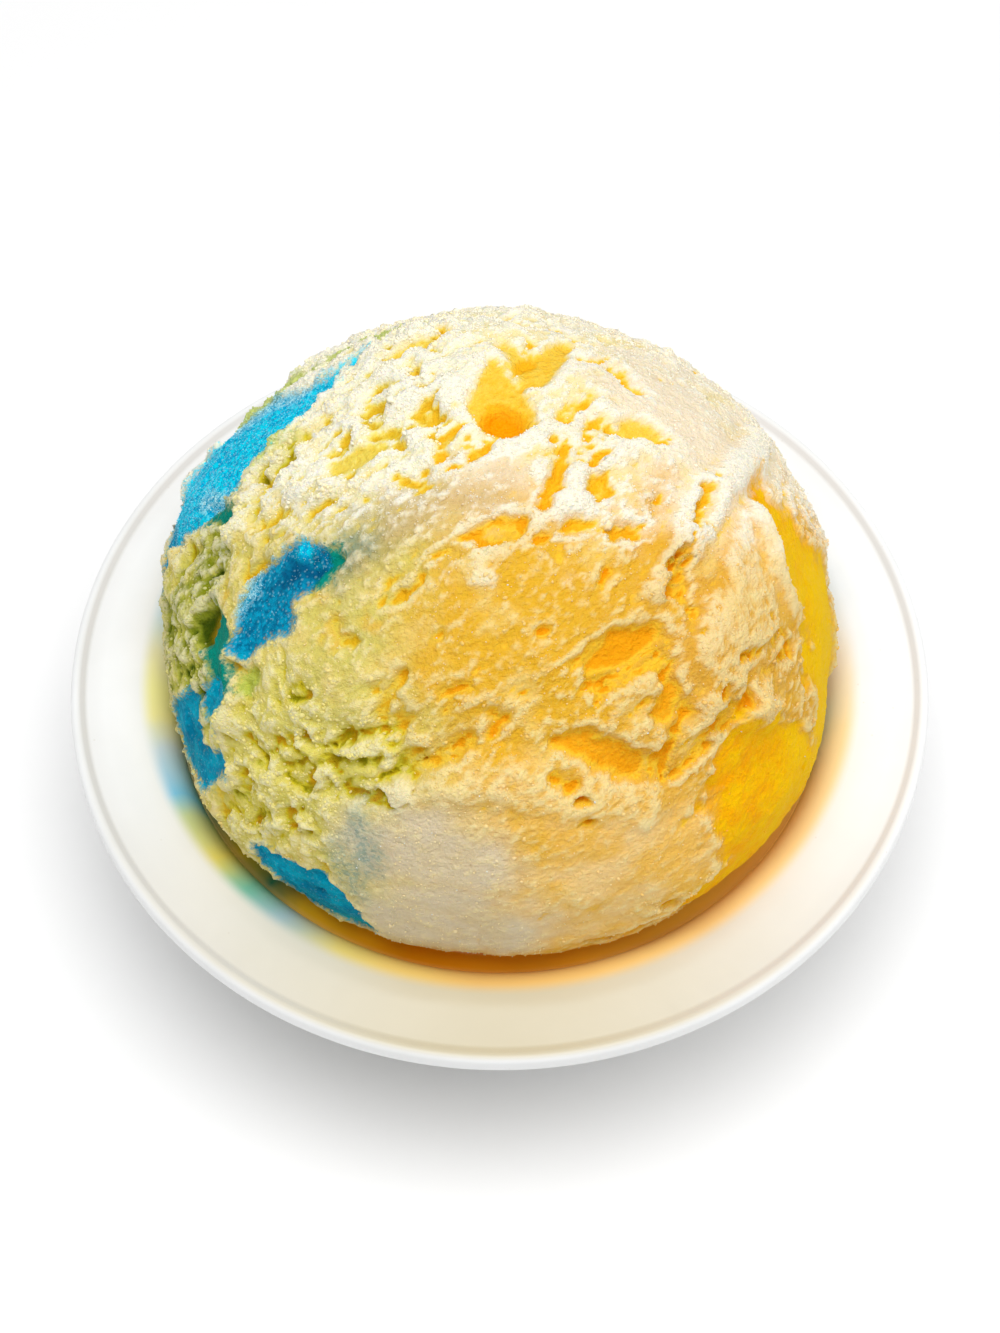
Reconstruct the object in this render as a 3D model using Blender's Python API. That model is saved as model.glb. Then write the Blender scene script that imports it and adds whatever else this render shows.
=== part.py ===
"""A scoop of shaved ice in a small rimmed dessert bowl.

Units are metres, +Z is up, and the origin is the bottom centre of the bowl's
foot ring. The bowl is a turned shape with a flat brim, the ice is one large
torn ball that sits on the bowl's floor, and a pool of melted syrup fills the
space between them. The side with the most open gap faces -Y.
"""

from math import atan2, cos, hypot, pi, radians, sin, tan

import bmesh
import bpy
from mathutils import Vector, noise

MM = 0.001
GAP = 0.3 * MM                      # clearance between pieces that touch

# The bowl, all radii from its axis and all heights from the table.
RIM_RADIUS = 50.0 * MM
LIP_TOP = 30.4 * MM
LIP_BOTTOM = 27.6 * MM
LIP_WIDTH = 1.35 * MM
CREASE_HEIGHT = 30.0 * MM
BRIM_CREST_RADIUS = 43.5 * MM
BRIM_CREST_HEIGHT = 30.9 * MM
WELL_RADIUS = 38.0 * MM
WELL_FLOOR_RADIUS = 35.6 * MM
WELL_FLOOR = 8.0 * MM
SHOULDER_FILLET = 3.2 * MM
FLOOR_FILLET = 10.0 * MM
WALL = 3.0 * MM
FOOT_RADIUS = 25.5 * MM
FOOT_WIDTH = 2.6 * MM
FOOT_RECESS = 2.2 * MM
UNDERSIDE = 4.2 * MM
BOWL_SEGMENTS = 48

# The ball of ice: its widest level, its radius there, and its two half heights.
BALL_LEVEL = 36.0 * MM
BALL_RADIUS = 38.6 * MM
BALL_UP = 40.0 * MM
BALL_DOWN = 31.0 * MM
BALL_DOWN_POWER = 1.5
BALL_SUBDIVISIONS = 5
FACE_TILT = radians(57.6)           # the middle of the torn face, above level
RELIEF_FADE = (27.0 * MM, 34.0 * MM)  # no relief below, all of it above

# The melted syrup round the foot of the ball.
MELT_LEVEL = 27.0 * MM
MELT_RINGS = 5

# Relief of the ball: degrees right of and above the middle of its face,
# half width and half height in degrees, turn in degrees, height in mm.
BUMPS = {
    "hole": (-2, 38, 3.5, 4.0, 0, -4.5),
    "hollow_top": (12, 51, 7, 4, 20, -2.0),
    "hollow_right": (34, 48, 6, 4, 30, -1.6),
    "hollow_mid": (18, 33, 6, 4, 40, -2.0),
    "crevice_upper": (22, -3, 11, 4, -30, -1.8),
    "crevice_lower": (24, -18, 12, 4, -30, -2.2),
    "crumbly_low_left": (-40, -22, 18, 12, 15, -1.2),
    "left_channel": (-59, -2, 5, 22, -12, -2.0),
    "flap": (41, 10, 10, 12, -35, 2.0),
    "ridge": (37, 24, 12, 4, 32, 1.4),
    "under_flap": (58, 8, 6, 14, -10, -1.2),
    "top_shelf": (-10, 55, 24, 7, -12, 1.0),
    "smooth_belly": (5, -38, 28, 12, 0, 0.8),
}
LEDGE_HEIGHT = 0.9 * MM
LEDGE_PITCH = 7.0 * MM
LEDGE_TURN = radians(28)
ROUGHNESS = ((1.1 * MM, 13.0 * MM), (0.5 * MM, 5.5 * MM))   # height, pitch


def material(name, colour, roughness, transmission=0.0):
    """Make a Principled material with one colour."""
    made = bpy.data.materials.new(name)
    made.use_nodes = True
    shader = made.node_tree.nodes["Principled BSDF"]
    shader.inputs["Base Color"].default_value = (*colour, 1.0)
    shader.inputs["Roughness"].default_value = roughness
    shader.inputs["Transmission Weight"].default_value = transmission
    made.diffuse_color = (*colour, 1.0)
    return made


def add_object(name, mesh, finish):
    """Link a mesh to the scene as a smooth-shaded object."""
    mesh.materials.append(finish)
    mesh.shade_smooth()
    mesh.set_sharp_from_angle(angle=radians(50))
    made = bpy.data.objects.new(name, mesh)
    bpy.context.scene.collection.objects.link(made)
    return made


def rounded(corners):
    """Round a profile's corners: each is (radius, height, fillet, steps)."""
    points = []
    for i, (r, z, fillet, steps) in enumerate(corners):
        if fillet == 0:
            points.append((r, z))
            continue
        here = Vector((r, z))
        back = (Vector(corners[i - 1][:2]) - here).normalized()
        onward = (Vector(corners[i + 1][:2]) - here).normalized()
        half = back.angle(onward) / 2
        centre = here + (back + onward).normalized() * (fillet / sin(half))
        start = here + back * (fillet / tan(half)) - centre
        sweep = start.angle_signed(here + onward * (fillet / tan(half)) - centre)
        first = atan2(start.y, start.x)
        for step in range(steps + 1):
            turn = first - sweep * step / steps
            points.append((centre.x + fillet * cos(turn), centre.y + fillet * sin(turn)))
    return points


def turned(name, profile, segments, closed):
    """Turn a profile round Z. An open profile starts and ends on the axis."""
    bm = bmesh.new()
    rings = []
    for r, z in profile:
        if r < 1e-9:
            rings.append([bm.verts.new((0, 0, z))])
            continue
        angles = [2 * pi * k / segments for k in range(segments)]
        rings.append([bm.verts.new((r * cos(a), r * sin(a), z)) for a in angles])
    pairs = list(zip(rings, rings[1:]))
    if closed:
        pairs.append((rings[-1], rings[0]))
    for lower, upper in pairs:
        for k in range(segments):
            after = (k + 1) % segments
            corners = [lower[k % len(lower)], lower[after % len(lower)],
                       upper[after % len(upper)], upper[k % len(upper)]]
            bm.faces.new(list(dict.fromkeys(corners)))
    bmesh.ops.recalc_face_normals(bm, faces=bm.faces)
    mesh = bpy.data.meshes.new(name)
    bm.to_mesh(mesh)
    bm.free()
    return mesh


def bowl_profile():
    """Go up the inside of the bowl, over its brim and lip, and down outside."""
    crease = RIM_RADIUS - LIP_WIDTH
    foot_inner = FOOT_RADIUS - FOOT_WIDTH
    return rounded([
        (0, WELL_FLOOR, 0, 0),
        (WELL_FLOOR_RADIUS, WELL_FLOOR, FLOOR_FILLET, 5),
        (WELL_RADIUS, BRIM_CREST_HEIGHT, SHOULDER_FILLET, 5),
        (BRIM_CREST_RADIUS, BRIM_CREST_HEIGHT, 0, 0),
        (crease, CREASE_HEIGHT, 0, 0),
        (crease + 0.3 * MM, LIP_TOP, 0, 0),
        (RIM_RADIUS, LIP_TOP, 0.8 * MM, 3),
        (RIM_RADIUS, LIP_BOTTOM, 0.9 * MM, 3),
        (crease - 0.5 * MM, LIP_BOTTOM, 0, 0),
        (WELL_RADIUS + WALL, LIP_BOTTOM, 2.0 * MM, 3),
        (WELL_FLOOR_RADIUS + WALL, UNDERSIDE, FLOOR_FILLET + 1.5 * MM, 5),
        (FOOT_RADIUS + 0.5 * MM, UNDERSIDE, 0, 0),
        (FOOT_RADIUS, 0, 0.7 * MM, 2),
        (foot_inner, 0, 0.7 * MM, 2),
        (foot_inner - 0.5 * MM, FOOT_RECESS, 0, 0),
        (0, FOOT_RECESS, 0, 0),
    ])


def well_radius(height):
    """Radius of the well's inside at a height below its shoulder."""
    inside = [point for point in bowl_profile()[1:] if point[0] <= WELL_RADIUS]
    for (r0, z0), (r1, z1) in zip(inside, inside[1:]):
        if height <= z1:
            return r0 + (r1 - r0) * max(height - z0, 0) / (z1 - z0)


def smooth_step(low, high, value):
    """Ease from 0 at low to 1 at high."""
    t = min(max((value - low) / (high - low), 0.0), 1.0)
    return t * t * (3 - 2 * t)


def ball_radius(height):
    """Radius of the plain ball at a height: round above, tapered below."""
    above = (height - BALL_LEVEL) / BALL_UP
    if above >= 0:
        return BALL_RADIUS * max(1 - above ** 2, 0) ** 0.5
    below = (BALL_LEVEL - height) / BALL_DOWN
    power = BALL_DOWN_POWER
    return BALL_RADIUS * max(1 - below ** power, 0) ** (1 / power)


def ball_point(direction):
    """Where a ray from the ball's centre meets the plain ball."""
    level = hypot(direction.x, direction.y) / BALL_RADIUS
    if direction.z >= 0:
        reach = (level ** 2 + (direction.z / BALL_UP) ** 2) ** -0.5
    else:
        power = BALL_DOWN_POWER
        reach = (level ** power + (-direction.z / BALL_DOWN) ** power) ** (-1 / power)
    return direction * reach


def face_angles(direction):
    """Degrees right of and above the middle of the ball's torn face."""
    middle = Vector((0, -cos(FACE_TILT), sin(FACE_TILT)))
    upward = Vector((0, sin(FACE_TILT), cos(FACE_TILT)))
    rise = max(min(direction.dot(upward), 1), -1)
    right = atan2(direction.x, direction.dot(middle))
    return right / radians(1), atan2(rise, (1 - rise * rise) ** 0.5) / radians(1)


def relief(direction, point):
    """Height of the ball's uneven surface over the plain ball."""
    right, above = face_angles(direction)
    height = 0.0
    for at_right, at_above, wide, tall, turn, bump in BUMPS.values():
        across = (right - at_right) * cos(radians(at_above))
        along = above - at_above
        turned_x = across * cos(radians(turn)) + along * sin(radians(turn))
        turned_y = along * cos(radians(turn)) - across * sin(radians(turn))
        away = hypot(turned_x / wide, turned_y / tall)
        height += bump * MM * smooth_step(1.5, 0.3, away)
    for rough, pitch in ROUGHNESS:
        height += rough * noise.noise(point / pitch)
    run = point.z * cos(LEDGE_TURN) - point.x * sin(LEDGE_TURN)
    run += 2.5 * MM * noise.noise(point / (3 * LEDGE_PITCH))
    step = (run / LEDGE_PITCH) % 1.0
    ledge = smooth_step(0.0, 0.75, step) - smooth_step(0.75, 1.0, step)
    return height + LEDGE_HEIGHT * (ledge - 0.5)


def make_bowl():
    finish = material("bowl", (0.86, 0.85, 0.80), 0.22)
    return add_object("bowl", turned("bowl", bowl_profile(), BOWL_SEGMENTS, False), finish)


def make_ice():
    """Push an even ball of points out to the uneven surface, flat underneath."""
    bm = bmesh.new()
    bmesh.ops.create_icosphere(bm, subdivisions=BALL_SUBDIVISIONS, radius=1.0)
    for vert in bm.verts:
        direction = vert.co.normalized()
        point = ball_point(direction)
        share = smooth_step(*RELIEF_FADE, BALL_LEVEL + point.z)
        point += direction * relief(direction, point) * share
        point.z = max(point.z + BALL_LEVEL, WELL_FLOOR + GAP)
        vert.co = point
    mesh = bpy.data.meshes.new("ice")
    bm.to_mesh(mesh)
    bm.free()
    return add_object("ice", mesh, material("ice", (0.93, 0.80, 0.42), 0.75))


def make_melt():
    """A ring of liquid from the floor up, between the well and the ball."""
    low = WELL_FLOOR + GAP
    heights = [low + (MELT_LEVEL - low) * k / MELT_RINGS for k in range(MELT_RINGS + 1)]
    outside = [(well_radius(z - GAP) - GAP, z) for z in heights]
    inside = [(ball_radius(z) + 2 * GAP, z) for z in reversed(heights)]
    finish = material("melt", (0.55, 0.22, 0.02), 0.08, 0.4)
    return add_object("melt", turned("melt", outside + inside, BOWL_SEGMENTS, True), finish)


def main():
    for old in list(bpy.data.objects):
        bpy.data.objects.remove(old)
    make_bowl()
    make_ice()
    make_melt()


main()
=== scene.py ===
"""Looks of a large torn ball of coloured shaved ice in a small rimmed bowl."""

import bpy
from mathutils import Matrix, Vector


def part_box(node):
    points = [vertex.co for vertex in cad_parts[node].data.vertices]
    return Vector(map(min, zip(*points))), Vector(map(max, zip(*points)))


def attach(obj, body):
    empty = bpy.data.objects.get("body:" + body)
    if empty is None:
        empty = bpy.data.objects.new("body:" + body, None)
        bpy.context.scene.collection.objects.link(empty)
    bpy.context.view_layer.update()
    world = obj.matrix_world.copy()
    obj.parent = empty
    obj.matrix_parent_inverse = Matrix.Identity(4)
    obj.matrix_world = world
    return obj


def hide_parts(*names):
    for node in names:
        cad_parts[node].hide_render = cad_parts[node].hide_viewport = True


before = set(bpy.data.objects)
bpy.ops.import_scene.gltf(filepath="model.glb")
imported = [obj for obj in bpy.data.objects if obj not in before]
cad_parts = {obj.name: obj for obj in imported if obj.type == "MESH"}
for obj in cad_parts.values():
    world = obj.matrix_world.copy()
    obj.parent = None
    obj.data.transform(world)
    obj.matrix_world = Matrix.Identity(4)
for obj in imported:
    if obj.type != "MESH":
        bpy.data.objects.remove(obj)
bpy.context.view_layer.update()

from math import cos, pi, radians, sin, tan

import bmesh
import bpy
import numpy as np
from mathutils import Matrix, Vector, noise

MM = 0.001
SEED = 7

# Levels read from the frame.
BRIM_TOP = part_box("bowl")[1].z
MELT_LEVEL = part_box("melt")[1].z
ICE_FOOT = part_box("ice")[0].z
ICE_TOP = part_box("ice")[1].z

# The ball: its widest level, its radius there, and its two half heights.
BALL_LEVEL = 36.0 * MM
BALL_RADIUS = 38.6 * MM
BALL_UP = 40.0 * MM
BALL_DOWN = 31.0 * MM
BALL_DOWN_POWER = 1.5
RELIEF_FADE = (27.0 * MM, 33.0 * MM)    # the torn relief ends between these levels
PEAK_START = ICE_TOP - 1.6 * MM         # peaks above this are eased to below the top
PEAK_EASE = 1.4 * MM

# The middle of the ball's torn face looks forward and up.
FACE_TILT = radians(57.6)
FACE = np.array([0.0, -cos(FACE_TILT), sin(FACE_TILT)])
FACE_UP = np.array([0.0, sin(FACE_TILT), cos(FACE_TILT)])
FACE_RIGHT = np.array([1.0, 0.0, 0.0])
LEDGE_TURN = radians(30)                # the way the scoop was drawn, up to the right
LEDGE_PITCH = 4.2 * MM                  # from one torn ledge to the next
STREAK = 1.9                            # how many times as long as wide the scoop's marks are


# ---------------------------------------------------------------- small tools

def smooth_step(low, high, value):
    """Ease from 0 at low to 1 at high. low may be above high."""
    t = np.clip((value - low) / (high - low), 0.0, 1.0)
    return t * t * (3 - 2 * t)


def soft_noise(points, pitch, seed=0, octaves=1, gain=0.5):
    """Smooth noise of about -1 to 1, whose lumps are pitch apart."""
    total = np.zeros(len(points))
    scale = 1.0
    for octave in range(octaves):
        shift = np.array([17.3, 31.7, 47.9]) * (seed + 5 * octave + 1)
        at = points / (pitch * 0.5 ** octave) + shift
        total += scale * np.array([noise.noise(p) for p in at.tolist()])
        scale *= gain
    return total


def direction(right, above):
    """Direction from the ball's centre, in degrees on its torn face."""
    lon, lat = radians(right), radians(above)
    return cos(lat) * sin(lon) * FACE_RIGHT + cos(lat) * cos(lon) * FACE + sin(lat) * FACE_UP


def patch(dirs, right, above, wide, tall, turn):
    """Distance from a patch's middle, 1 at its edge. Angles in degrees."""
    middle = direction(right, above)
    east = cos(radians(right)) * FACE_RIGHT - sin(radians(right)) * FACE
    north = np.cross(middle, east)
    north *= np.sign(north @ FACE_UP)
    ahead = dirs @ middle
    safe = np.maximum(ahead, 0.05)
    x = np.degrees(np.arctan(dirs @ east / safe))
    y = np.degrees(np.arctan(dirs @ north / safe))
    along = (x * cos(radians(turn)) + y * sin(radians(turn))) / wide
    across = (y * cos(radians(turn)) - x * sin(radians(turn))) / tall
    return np.where(ahead > 0.05, np.hypot(along, across), 9.0)


def inside(dirs, chain):
    """How far inside a stroke, in degrees: less than 0 is outside."""
    best = np.full(len(dirs), -90.0)
    for (*start, wide), (*end, narrow) in zip(chain, chain[1:]):
        one, two = direction(*start), direction(*end)
        share = np.clip((dirs - one) @ (two - one) / ((two - one) @ (two - one)), 0, 1)
        away = np.linalg.norm(dirs - one - share[:, None] * (two - one), axis=1)
        best = np.maximum(best, wide + (narrow - wide) * share - np.degrees(away))
    return best


def link(name, data):
    """Put a mesh, a lamp or a camera in the scene as an object."""
    made = bpy.data.objects.new(name, data)
    bpy.context.scene.collection.objects.link(made)
    return made


def mesh_from(name, verts, faces, smooth=True):
    """Mesh from arrays of points and of faces that all have as many corners."""
    mesh = bpy.data.meshes.new(name)
    corners = faces.shape[1]
    mesh.vertices.add(len(verts))
    mesh.vertices.foreach_set("co", verts.astype(np.float32).ravel())
    mesh.loops.add(faces.size)
    mesh.loops.foreach_set("vertex_index", faces.astype(np.int32).ravel())
    mesh.polygons.add(len(faces))
    starts = np.arange(0, faces.size, corners, dtype=np.int32)
    mesh.polygons.foreach_set("loop_start", starts)
    mesh.update(calc_edges=True)
    if smooth:
        mesh.shade_smooth()
    return mesh


def point_normals(verts, faces):
    """Unit normals at the points of a mesh of quads."""
    a, b, c, d = (verts[faces[:, k]] for k in range(4))
    flat = np.cross(c - a, d - b)
    total = np.zeros_like(verts)
    for k in range(4):
        np.add.at(total, faces[:, k], flat)
    return total / np.maximum(np.linalg.norm(total, axis=1, keepdims=True), 1e-20)


def set_fields(mesh, fields):
    """Store each field as a number at every point, for the materials."""
    for name, values in fields.items():
        layer = mesh.attributes.new(name, "FLOAT", "POINT")
        layer.data.foreach_set("value", values.astype(np.float32))


# ----------------------------------------------------------------- node tools

class Nodes:
    """A material's nodes, made in a few words."""

    def __init__(self, name):
        self.material = bpy.data.materials.new(name)
        self.material.use_nodes = True
        self.tree = self.material.node_tree
        self.shader = self.tree.nodes["Principled BSDF"]
        coordinates = self.tree.nodes.new("ShaderNodeTexCoord")
        self.place = coordinates.outputs["Object"]

    def draw_out(self, stretch):
        """Stretch all later noise along the way that the scoop was drawn."""
        drawn = cos(LEDGE_TURN) * FACE_RIGHT + sin(LEDGE_TURN) * FACE_UP
        square = np.cross(FACE, drawn)
        frame_of_draw = Matrix(np.column_stack([drawn, square, FACE]).tolist())
        node = self.tree.nodes.new("ShaderNodeMapping")
        node.vector_type = "TEXTURE"
        node.inputs["Rotation"].default_value = frame_of_draw.to_euler()
        node.inputs["Scale"].default_value = (stretch, 1, 1)
        self.join(self.place, node.inputs["Vector"])
        self.place = node.outputs["Vector"]

    def join(self, source, socket):
        """Put a number, a colour or another node's output into a socket."""
        if isinstance(source, bpy.types.NodeSocket):
            self.tree.links.new(source, socket)
        else:
            socket.default_value = source

    def field(self, name):
        """A number stored at the mesh's points by set_fields."""
        node = self.tree.nodes.new("ShaderNodeAttribute")
        node.attribute_name = name
        return node.outputs["Fac"]

    def noise(self, pitch, detail=2.0, roughness=0.5):
        """Noise of 0 to 1 whose lumps are pitch metres apart."""
        node = self.tree.nodes.new("ShaderNodeTexNoise")
        node.inputs["Scale"].default_value = 1.0 / pitch
        node.inputs["Detail"].default_value = detail
        node.inputs["Roughness"].default_value = roughness
        self.join(self.place, node.inputs["Vector"])
        return node.outputs["Fac"]

    def cells(self, pitch):
        """Distance to the nearest of points scattered pitch metres apart."""
        node = self.tree.nodes.new("ShaderNodeTexVoronoi")
        node.inputs["Scale"].default_value = 1.0 / pitch
        self.join(self.place, node.inputs["Vector"])
        return node.outputs["Distance"]

    def around(self, wander):
        """Turns round Z from the front, -0.5 to 0.5, positive to the right."""
        node = self.tree.nodes.new("ShaderNodeSeparateXYZ")
        self.join(self.place, node.inputs["Vector"])
        toward = self.times(node.outputs["Y"], -1.0)
        turned_by = self.math("ARCTAN2", node.outputs["X"], toward)
        return self.plus(self.math("DIVIDE", turned_by, 2 * pi), wander)

    def math(self, operation, a, b):
        node = self.tree.nodes.new("ShaderNodeMath")
        node.operation = operation
        self.join(a, node.inputs[0])
        self.join(b, node.inputs[1])
        return node.outputs[0]

    def plus(self, a, b):
        return self.math("ADD", a, b)

    def times(self, a, b):
        return self.math("MULTIPLY", a, b)

    def swing(self, value, by):
        """A noise of 0 to 1, moved to swing about 0 and made by times as strong."""
        return self.times(self.math("SUBTRACT", value, 0.5), by)

    def spread(self, value, low, high, to_low=0.0, to_high=1.0):
        """Ease a value from one range into another."""
        node = self.tree.nodes.new("ShaderNodeMapRange")
        node.interpolation_type = "SMOOTHSTEP"
        self.join(value, node.inputs["Value"])
        for name, number in (("From Min", low), ("From Max", high),
                             ("To Min", to_low), ("To Max", to_high)):
            self.join(number, node.inputs[name])
        return node.outputs["Result"]

    def mix(self, share, a, b):
        """Mix two colours, each a socket or an sRGB triple of 0 to 255."""
        node = self.tree.nodes.new("ShaderNodeMix")
        node.data_type = "RGBA"
        self.join(share, node.inputs["Factor"])
        self.join(paint(a), node.inputs["A"])
        self.join(paint(b), node.inputs["B"])
        return node.outputs["Result"]

    def ramp(self, value, stops):
        """Colours at degrees round, for a value in turns of -0.5 to 0.5."""
        node = self.tree.nodes.new("ShaderNodeValToRGB")
        while len(node.color_ramp.elements) < len(stops):
            node.color_ramp.elements.new(1.0)
        for element, (degrees, colour) in zip(node.color_ramp.elements, stops):
            element.position = degrees / 360 + 0.5
            element.color = paint(colour)
        self.join(self.plus(value, 0.5), node.inputs["Fac"])
        return node.outputs["Color"]

    def bump(self, height, distance, strength):
        node = self.tree.nodes.new("ShaderNodeBump")
        node.inputs["Strength"].default_value = strength
        node.inputs["Distance"].default_value = distance
        self.join(height, node.inputs["Height"])
        return node.outputs["Normal"]

    def finish(self, **values):
        """Set the shader's inputs by name, with _ for a blank."""
        for name, value in values.items():
            self.join(value, self.shader.inputs[name.replace("_", " ")])
        return self.material


def paint(colour):
    """sRGB of 0 to 255 as linear RGBA. Sockets pass through."""
    if isinstance(colour, bpy.types.NodeSocket):
        return colour
    share = [c / 255 for c in colour]
    linear = [c / 12.92 if c <= 0.04045 else ((c + 0.055) / 1.055) ** 2.4 for c in share]
    return (*linear, 1.0)


# --------------------------------------------------------- the ball's features

# A stroke is a chain of (degrees right of the middle of the face, degrees above
# it, half width in degrees). Each colour has several strokes.
COLOURS = {
    "blue": (
        ((-43, 54, 1.5), (-48, 48, 4.0), (-55, 43, 7.0), (-64, 38, 10.5)),
        ((-64, 37, 10.5), (-72, 30, 12.0), (-78, 22, 7.0), (-84, 12, 4.0)),
        ((-31, 14, 2.8), (-35, 12, 5.2), (-40, 9, 6.0), (-44, 5, 3.6), (-46, -1, 1.2)),
        ((-52, -6, 1.8), (-57, -9, 3.6)),
        ((-66, -8, 2.0), (-72, -12, 4.6), (-73, -17, 5.4), (-68, -21, 4.0), (-58, -20, 1.4)),
        ((-58, -38, 2.6), (-52, -44, 7.4), (-46, -47, 6.6), (-42, -52, 3.0)),
    ),
    "teal": (
        ((-55, 1, 5.4), (-53, -4, 5.0)),
        ((-64, 22, 2.2), (-55, 22, 2.4)),
        ((-28, 14, 2.6), (-31, 11, 3.0)),
        ((-66, -9, 2.4), (-69, -12, 3.0)),
    ),
    "flank": (
        ((-60, 22, 5), (-64, 8, 9), (-64, -4, 8), (-80, 0, 16)),
    ),
    "mist": (
        ((-25, -28, 1.5), (-27, -34, 3.0), (-34, -40, 4.0), (-36, -46, 3.0)),
        ((-27, 14, 3.0), (-22, 16, 2.0)),
    ),
    "green": (
        ((-52, 33, 5.0), (-62, 14, 10), (-66, 4, 12), (-58, -12, 8), (-40, -24, 14)),
        ((-52, -28, 10), (-38, -20, 15), (-24, -22, 9)),
    ),
    "lime": (
        ((-49, 37, 0.9), (-53, 30, 1.5), (-53, 26, 1.0)),
        ((-46, -6, 1.4), (-44, -5, 1.4)),
        ((-80, 40, 4.0), (-71, 49, 4.4), (-66, 54, 2.4)),
        ((-62, 58, 3.2), (-54, 63, 4.0), (-40, 67, 2.8)),
    ),
    "frost": (
        ((-26, 13, 3.0), (-17, 18, 4.0), (-9, 22, 4.0), (0, 24, 3.0)),
        ((-24, -34, 8), (-14, -33, 10), (-6, -35, 8)),
        ((-30, -50, 9), (-14, -50, 12), (0, -54, 8)),
    ),
    "peach": (
        ((10, -28, 5), (20, -36, 12), (32, -37, 11)),
        ((6, -50, 8), (18, -54, 10), (38, -50, 8)),
        ((36, 44, 8), (52, 30, 9), (46, 10, 7)),
        ((0, 26, 4), (6, 24, 3)),
    ),
    "amber": (
        ((48, -20, 7.5), (55, -24, 12.5), (64, -27, 13), (74, -28, 14)),
        ((54, 24, 4), (61, 16, 9), (70, 8, 10)),
        ((64, -3, 4), (76, -6, 12)),
        ((26, -59, 2.0), (42, -53, 3.5), (56, -43, 7.0)),
    ),
    # Bright frost along the outer edges of the blue.
    "rime": (
        ((-38, 16, 0.8), (-45, 11, 1.6), (-50, 5, 1.6)),
        ((-49, 51, 1.2), (-60, 47, 2.6), (-74, 42, 5.0)),
        ((-66, 24, 1.6), (-60, 24, 1.6)),
    ),
    # Where the blue is darkest.
    "navy": (
        ((-31, 13, 2.4), (-34, 12, 3.2), (-38, 10, 2.0)),
        ((-72, -15, 2.0), (-70, -19, 3.0)),
        ((-50, -45, 2.5), (-44, -48, 2.5)),
    ),
    # Smooth slabs, with few hollows of their own.
    "calm": (
        ((-14, -2, 6), (-4, 4, 9), (8, 7, 8), (14, 10, 6)),
        ((10, -26, 4), (22, -28, 6), (34, -30, 7)),
        ((-21, 44, 2.5), (-11, 42, 2.5)),
        ((34, 6, 8), (42, 5, 9), (44, 14, 6)),
        ((-24, -50, 9), (0, -52, 12), (30, -56, 12), (54, -46, 8)),
        ((42, 46, 6), (56, 34, 8)),
    ),
}

# How far noise frays each colour's edges, and over how far some colours ease in,
# both in degrees.
FRAY = {"blue": 2.2, "teal": 2.2, "lime": 2.2, "rime": 2.2, "mist": 3.0,
        "amber": 3.5, "frost": 3.5, "navy": 3.5, "green": 5.0, "flank": 5.0,
        "peach": 5.0, "calm": 5.0}
SOFT_EDGE = {"green": 5.0, "flank": 3.0, "frost": 6.0, "peach": 6.0, "calm": 3.0}

# How deep in mm the syrup has sunk into the ice.
SYRUP_SUNK = {"blue": 0.7, "teal": 0.6, "amber": 0.7, "lime": 0.4}

# Smooth hollows with loosely frayed edges: depth in mm, then a stroke.
PRESSED = {
    "tear": (1.1, (-2, 50, 1.0), (-1, 46, 2.8), (0, 41, 5.2), (1, 39, 5.0)),
    "hole": (1.4, (0, 38.8, 2.7), (1, 38.4, 2.7)),
    "diagonal": (1.1, (20, 57, 1.4), (14, 53, 2.6), (8, 48.5, 3.0)),
    "top": (0.9, (2.5, 50, 1.4), (5, 52, 2.0), (1, 55, 1.6)),
    "olive": (1.5, (-60, 3, 3.2), (-58, 5, 2.4)),
    "gold": (1.0, (-31, 30, 2.0), (-27, 32, 2.6), (-24, 34, 1.8)),
    "right": (1.0, (27, 37, 2.4), (30, 36, 2.4)),
    "cross": (1.5, (14, -3, 1.4), (19, 0, 3.0), (24, 2, 2.0)),
    "notch": (1.3, (28, -7, 1.8), (27, -10, 2.2)),
    "lower": (1.3, (9, -15, 1.2), (15, -16, 2.6), (23, -19, 2.4)),
}

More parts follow.
